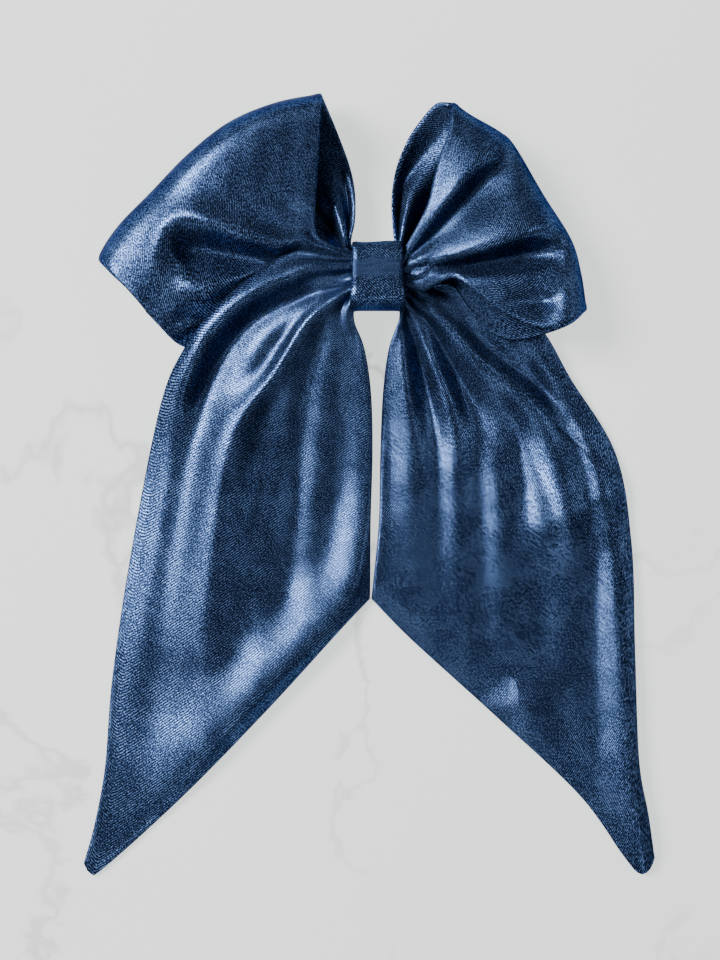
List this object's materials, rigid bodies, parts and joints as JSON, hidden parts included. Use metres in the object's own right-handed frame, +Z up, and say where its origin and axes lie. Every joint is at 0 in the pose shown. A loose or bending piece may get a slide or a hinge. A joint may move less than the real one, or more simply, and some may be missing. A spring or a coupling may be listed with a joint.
{
  "type": "hair bow",
  "caption": "Satin hair bow: open ribbon loops and long pointed tails gathered in a wrapped knot, on a spring barrette with a hinged clasp arm and a snap catch.",
  "frame": {"origin": "middle of the gap that holds the hair, between the clasp arm and the tension bar, level with the middle of the knot", "axes": "+Z up as worn, towards the tops of the loops; +X to the right of someone who looks at the front of the bow; -Y out of the front of the bow, +Y towards the head"},
  "size_m": [0.2185, 0.0324, 0.294],
  "materials": {
    "satin": "navy satin with a fine diagonal weave and a soft directional sheen",
    "thread": "navy polyester sewing thread",
    "felt": "matte pressed felt",
    "nickel": "nickel-plated steel, lightly brushed along its length",
    "spring_steel": "brushed spring steel",
    "pin_steel": "turned steel"
  },
  "bodies": {
    "bow": {"left_loop": "satin", "right_loop": "satin", "left_tail": "satin", "right_tail": "satin", "gathered_center": "satin", "gathering_thread": "thread", "knot_wrap": "satin", "wrap_lap": "satin", "wrap_stitches": "thread", "felt_pad": "felt", "barrette_base": "nickel", "tension_bar": "spring_steel", "hinge_pin": "pin_steel", "catch_bracket": "nickel", "catch_rivet": "pin_steel"},
    "clasp": {"clasp_arm": "nickel"},
    "upper_tab": {"upper_release_tab": "spring_steel"},
    "lower_tab": {"lower_release_tab": "spring_steel"}
  },
  "joints": [
    {"name": "clasp_hinge", "type": "hinge", "parent": "bow", "child": "clasp", "pos_m": [-0.0375, 0.0002, 0], "axis": [0, 0, 1], "range_deg": [0, 95]},
    {"name": "upper_tab_spread", "type": "hinge", "parent": "bow", "child": "upper_tab", "pos_m": [0.0365, -0.00135, 0.00295], "axis": [1, 0, 0], "range_deg": [0, 8], "stiffness_Nm_per_rad": 0.02},
    {"name": "lower_tab_spread", "type": "hinge", "parent": "bow", "child": "lower_tab", "pos_m": [0.0365, -0.00135, -0.00295], "axis": [-1, 0, 0], "range_deg": [0, 8], "stiffness_Nm_per_rad": 0.02}
  ]
}
